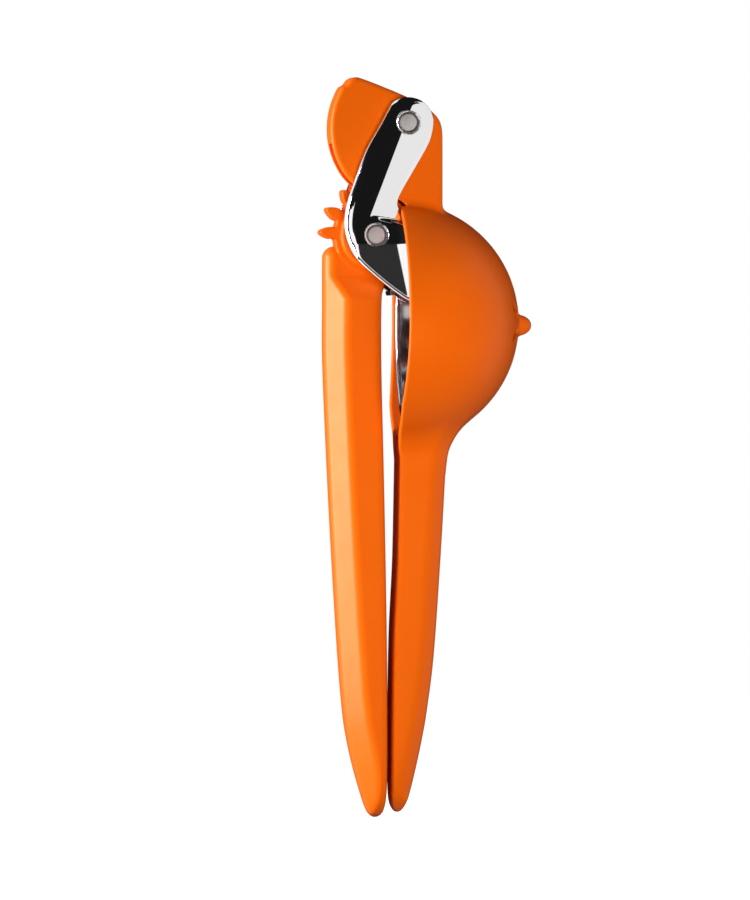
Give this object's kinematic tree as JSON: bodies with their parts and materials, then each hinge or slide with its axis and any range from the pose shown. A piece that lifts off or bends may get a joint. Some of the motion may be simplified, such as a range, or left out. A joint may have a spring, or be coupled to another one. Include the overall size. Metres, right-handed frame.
{
  "type": "citrus press juicer",
  "caption": "Hand-held geared citrus press: a bowl on a handle, a press cup on a pivoting arm, and a toothed press handle that drives the cup into the bowl.",
  "frame": {"origin": "middle of the bounding box, level with the tip of the press handle, the press closed and standing on its handle tips", "axes": "+Z from the handle tips up to the head, +X from the press handle towards the bottom of the bowl, +Y across the press, along both pivots"},
  "size_m": [0.0855, 0.097, 0.2959],
  "materials": {
    "orange_nylon": "satin orange nylon",
    "polished_steel": "mirror polished",
    "pin_steel": "dull, finely brushed",
    "washer_plastic": "plain white"
  },
  "bodies": {
    "bowl": {"bowl_body": "orange_nylon"},
    "arm": {"arm_plate_front": "polished_steel", "arm_plate_back": "polished_steel", "arm_trough": "polished_steel", "press_cup": "polished_steel", "upper_pin": "pin_steel", "lower_pin": "pin_steel", "upper_washer_front": "washer_plastic", "upper_washer_back": "washer_plastic", "lower_washer_front": "washer_plastic", "lower_washer_back": "washer_plastic"},
    "handle": {"press_handle": "orange_nylon"}
  },
  "joints": [
    {"name": "arm_pivot", "type": "hinge", "parent": "bowl", "child": "arm", "pos_m": [-0.008, 0, 0.2778], "axis": [0, 1, 0], "range_deg": [0, 42]},
    {"name": "handle_pivot", "type": "hinge", "parent": "arm", "child": "handle", "pos_m": [-0.0208, 0, 0.2328], "axis": [0, 1, 0], "range_deg": [0, 60.1]}
  ],
  "couplings": [
    {"joint": "handle_pivot", "follows": "arm_pivot", "ratio": 1.4286}
  ]
}
